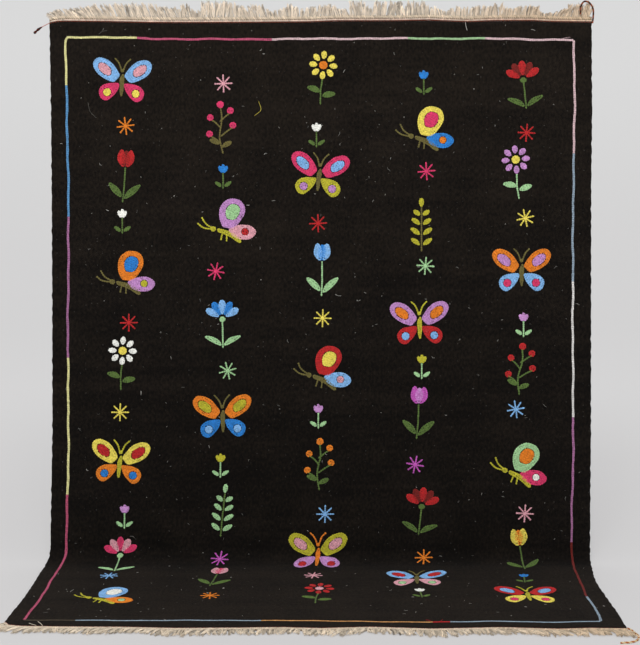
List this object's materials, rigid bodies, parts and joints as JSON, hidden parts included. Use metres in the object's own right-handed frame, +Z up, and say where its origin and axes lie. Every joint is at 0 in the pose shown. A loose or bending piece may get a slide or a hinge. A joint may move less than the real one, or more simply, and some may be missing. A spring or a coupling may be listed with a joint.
{
  "type": "hanging kilim rug",
  "caption": "Black flat-woven wool kilim rug with embroidered surface and cream fringed ends, hung by its top edge with the lower part swept forward along the floor.",
  "frame": {"origin": "middle of the cloth's top edge, on its back face, which is where it is pinned up", "axes": "+X to the viewer's right along the top edge, +Y back away from the viewer, +Z up"},
  "size_m": [1.5691, 0.7549, 1.5703],
  "materials": {
    "black_wool": "matt ribbed flatweave",
    "cream_cotton": "matt braided and loose yarn",
    "rust_yarn": "matt two-colour twisted yarn"
  },
  "bodies": {
    "root": {"kilim_cloth": "black_wool", "top_twining": "rust_yarn", "bottom_twining": "rust_yarn", "top_fringe": "cream_cotton", "bottom_fringe": "cream_cotton", "corner_cord_top_right": "rust_yarn", "corner_cord_top_left": "rust_yarn", "corner_cord_bottom_right": "rust_yarn"}
  },
  "joints": []
}
